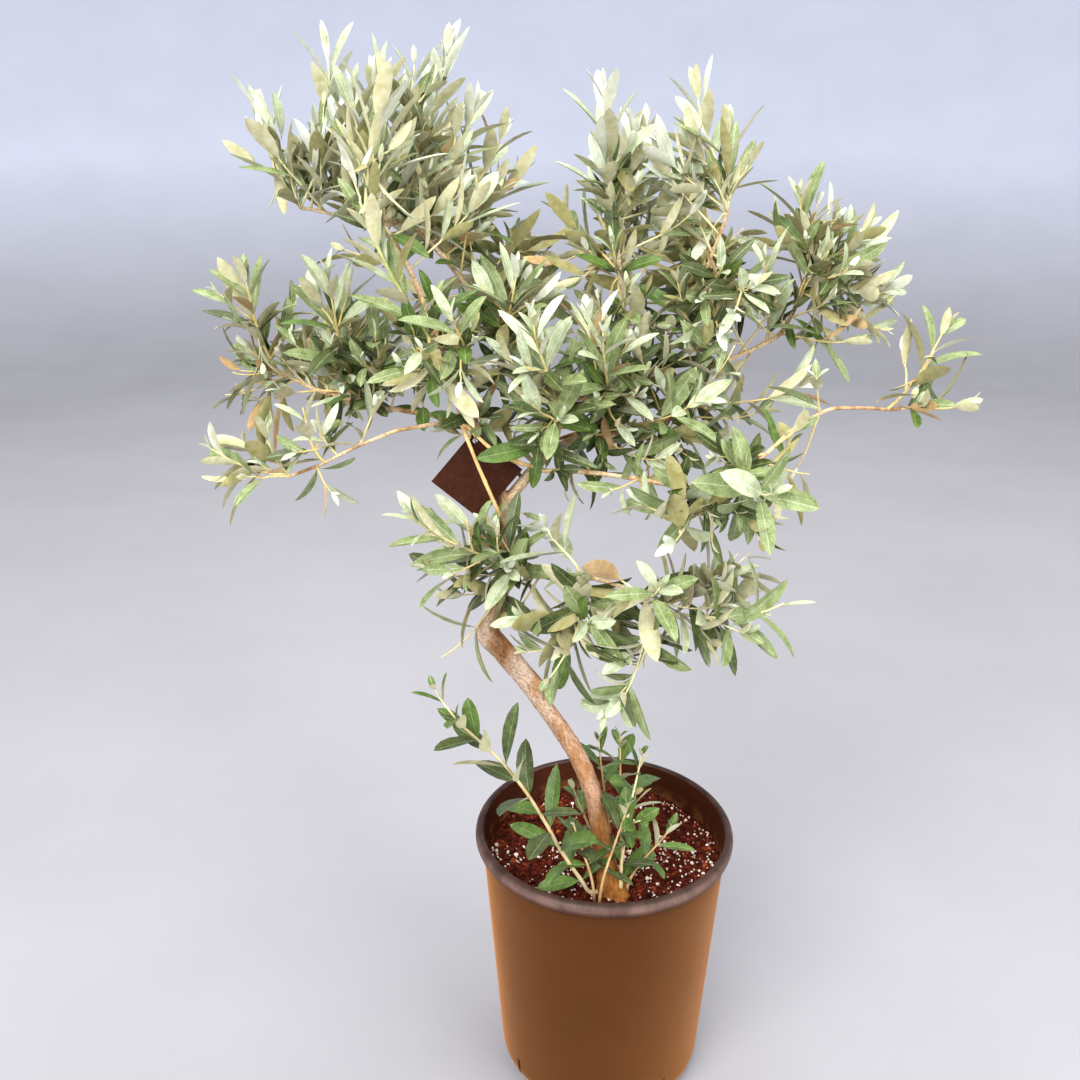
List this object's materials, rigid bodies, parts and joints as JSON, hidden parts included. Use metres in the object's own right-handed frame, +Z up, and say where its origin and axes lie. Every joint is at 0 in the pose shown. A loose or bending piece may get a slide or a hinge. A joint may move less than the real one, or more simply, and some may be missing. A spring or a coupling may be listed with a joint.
{
  "type": "potted olive tree",
  "caption": "Young olive tree with a bent trunk, open leafy crown and basal shoots, standing in a deep round nursery pot of potting mix.",
  "frame": {"origin": "centre of the pot's flat underside, where it stands", "axes": "+Z up; -Y is the front, the side from which the trunk is seen to lean left; +X is to the right as seen from the front"},
  "size_m": [0.6286, 0.365, 0.977],
  "materials": {
    "pot": "satin",
    "potting_mix": "matte",
    "bark": "matte",
    "young_bark": "matte",
    "foliage": "matte",
    "tag": "satin",
    "tie": "matte"
  },
  "bodies": {
    "root": {"pot": "pot", "potting_mix": "potting_mix", "trunk": "bark", "leader": "bark", "bough_right": "bark", "bough_upper_left": "bark", "bough_mid_left": "bark", "bough_left": "bark", "bough_left_arch": "bark", "bough_top_left": "bark", "bough_centre_peak": "bark", "bough_right_peak": "bark", "bough_upper_right": "bark", "bough_far_right": "bark", "bough_low": "bark", "branch_front_long": "young_bark", "branch_front_short": "young_bark", "shoot_young": "young_bark", "sprout_stem_left": "young_bark", "sprout_stem_right": "young_bark", "hang_tag": "tag", "tag_tie": "tie", "foliage_top_far_left": "foliage", "foliage_top_left": "foliage", "foliage_top_left_front": "foliage", "foliage_top_middle": "foliage", "foliage_top_middle_right": "foliage", "foliage_top_back": "foliage", "foliage_far_left": "foliage", "foliage_left": "foliage", "foliage_left_back": "foliage", "foliage_left_arch": "foliage", "foliage_left_arch_inner": "foliage", "foliage_hub": "foliage", "foliage_centre_left": "foliage", "foliage_centre_back": "foliage", "foliage_centre": "foliage", "foliage_centre_right": "foliage", "foliage_centre_peak": "foliage", "foliage_centre_peak_left": "foliage", "foliage_mid_peak": "foliage", "foliage_right_peak": "foliage", "foliage_right_peak_outer": "foliage", "foliage_right_middle": "foliage", "foliage_right_back": "foliage", "foliage_upper_right": "foliage", "foliage_upper_right_outer": "foliage", "foliage_far_right_upper": "foliage", "foliage_far_right_lower": "foliage", "foliage_right_drop": "foliage", "foliage_low_right_inner": "foliage", "foliage_low_right": "foliage", "foliage_low_left": "foliage", "foliage_low_middle": "foliage", "foliage_low_upper": "foliage", "foliage_low_front": "foliage", "foliage_low_outer": "foliage", "foliage_low_foot": "foliage", "foliage_sprout_left": "foliage", "foliage_sprout_right": "foliage"}
  },
  "joints": []
}
